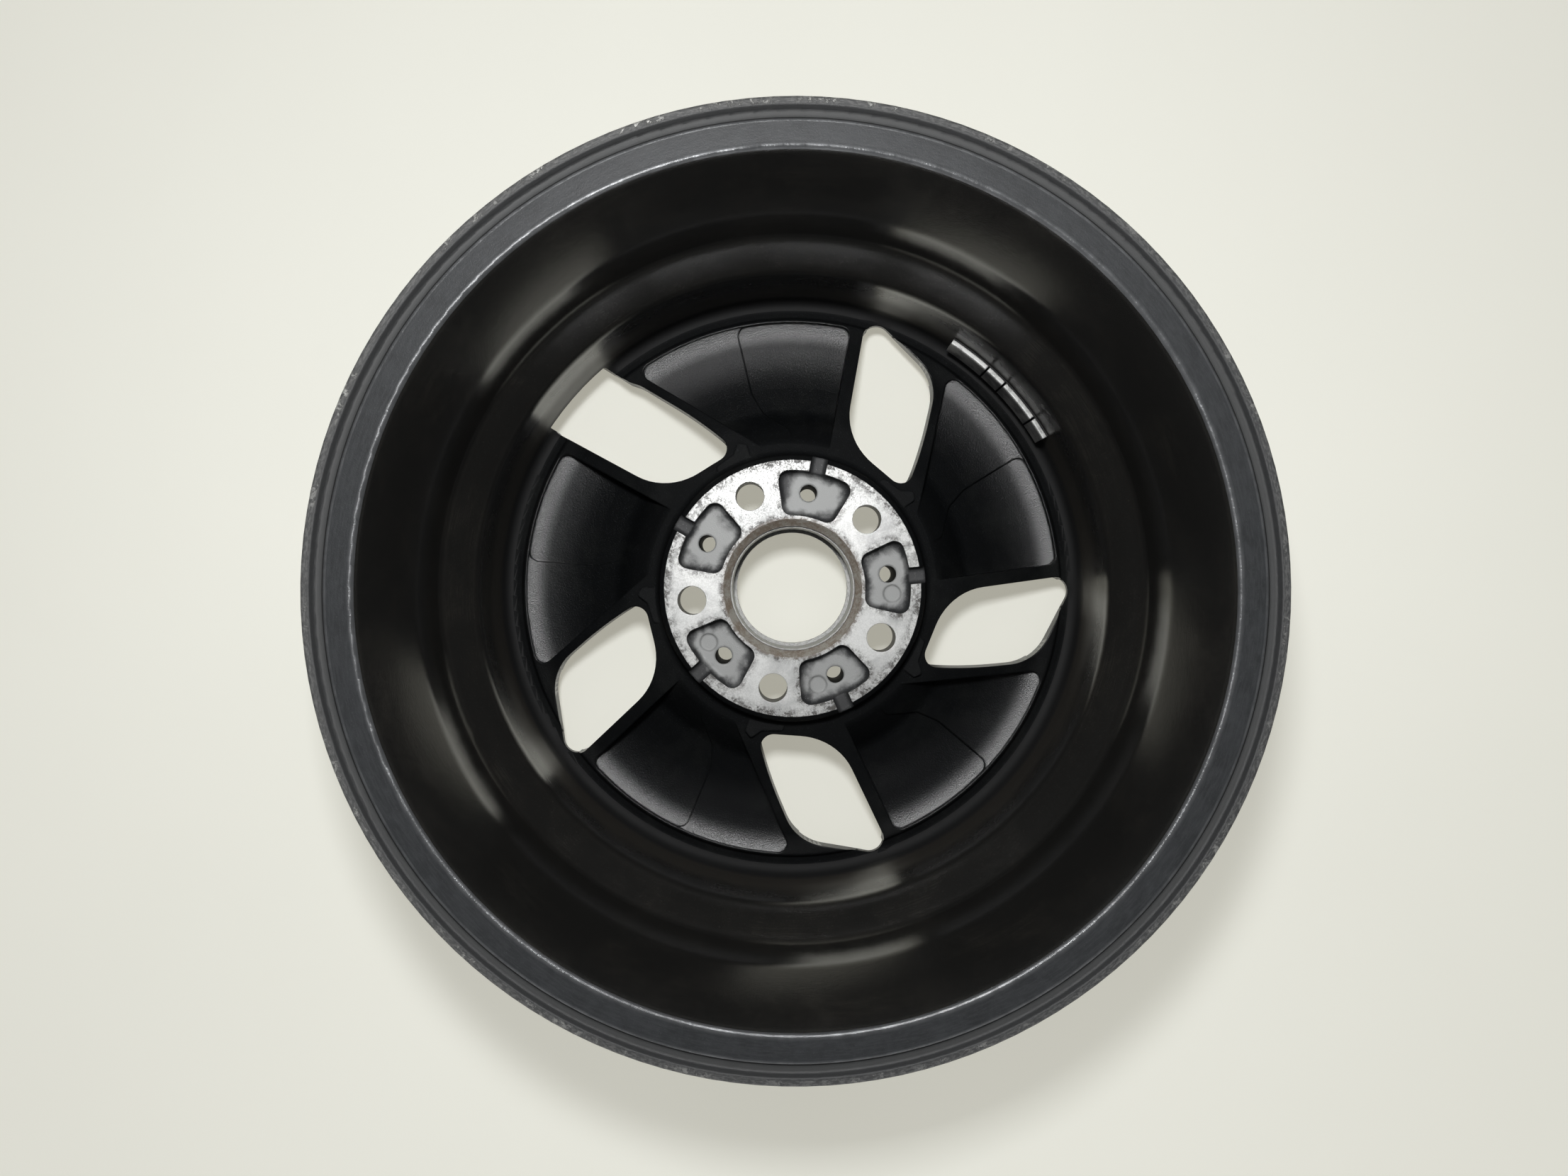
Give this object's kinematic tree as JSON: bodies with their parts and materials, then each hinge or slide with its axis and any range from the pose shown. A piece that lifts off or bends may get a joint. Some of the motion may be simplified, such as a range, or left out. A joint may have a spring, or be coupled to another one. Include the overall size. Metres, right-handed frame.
{
  "type": "alloy car wheel",
  "caption": "Cast alloy car wheel lying on its front, seen from its mounting side: deep barrel, pocketed spokes, hub pad and stick-on balance weights.",
  "frame": {"origin": "centre of the mounting face, on the wheel's axis", "axes": "+Z along the wheel's axis towards the car (inboard), +X through the first bolt hole, +Y completes a right-handed frame"},
  "size_m": [0.4711, 0.4712, 0.216],
  "materials": {
    "casting": "satin black paint over a cast surface, with a bare machined mounting pad, worn and scuffed at the lip",
    "weight_metal": "dull coated metal",
    "foam_tape": "matt black foam"
  },
  "bodies": {
    "root": {"wheel_casting": "casting", "balance_weight_long_1": "weight_metal", "balance_weight_short_2": "weight_metal", "balance_weight_long_3": "weight_metal", "balance_weight_short_4": "weight_metal", "weight_tape": "foam_tape"}
  },
  "joints": []
}
